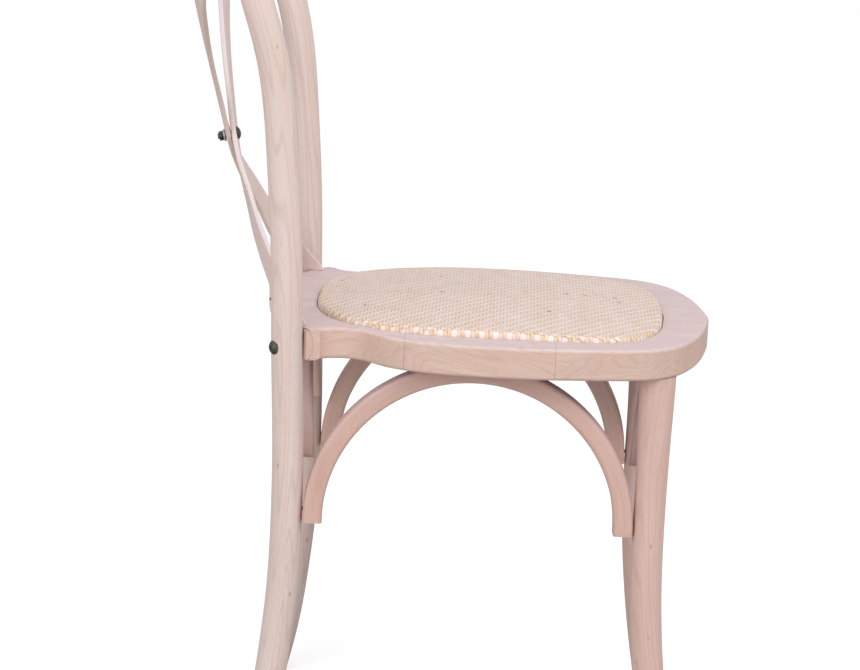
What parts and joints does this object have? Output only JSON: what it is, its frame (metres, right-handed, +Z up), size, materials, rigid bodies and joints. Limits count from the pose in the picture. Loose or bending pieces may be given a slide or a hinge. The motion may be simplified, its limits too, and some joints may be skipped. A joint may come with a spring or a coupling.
{
  "type": "cross back dining chair",
  "caption": "Bentwood side chair with a crossed-slat hoop back, round-cornered seat ring with a woven rattan pad, and bent arches between the legs.",
  "frame": {"origin": "on the floor under the middle of the chair's bounding box", "axes": "+Z up, the chair faces -Y, X across the chair, which is symmetric about X=0 apart from the crossed slats"},
  "size_m": [0.424, 0.5457, 0.905],
  "materials": {
    "beech": "pale limewashed beech, satin",
    "dowel_wood": "plain beech dowel",
    "plywood": "plain plywood",
    "rattan": "woven rattan, cream with darker strands",
    "foam": "thin pad foam",
    "dark_steel": "blackened steel, rubbed",
    "pale_steel": "plain steel",
    "glide_plastic": "nylon glide"
  },
  "bodies": {
    "root": {"back_hoop": "beech", "cross_slat_front": "beech", "cross_slat_rear": "beech", "slat_bolt": "dark_steel", "slat_washer": "pale_steel", "slat_nut": "dark_steel", "slat_screws": "dark_steel", "front_leg_left": "beech", "front_leg_right": "beech", "front_leg_dowels": "dowel_wood", "ring_front_rail": "beech", "ring_side_rail_left": "beech", "ring_side_rail_right": "beech", "ring_rear_rail": "beech", "ring_dowels": "dowel_wood", "saddle_block_left": "beech", "saddle_block_right": "beech", "rear_leg_bolts": "dark_steel", "rear_leg_barrel_nuts": "pale_steel", "side_arch_left": "beech", "side_arch_right": "beech", "front_arch": "beech", "rear_arch": "beech", "arch_screws": "dark_steel", "seat_board": "plywood", "seat_foam": "foam", "rattan_cover": "rattan", "seat_screws": "pale_steel", "foot_glides": "glide_plastic"}
  },
  "joints": []
}
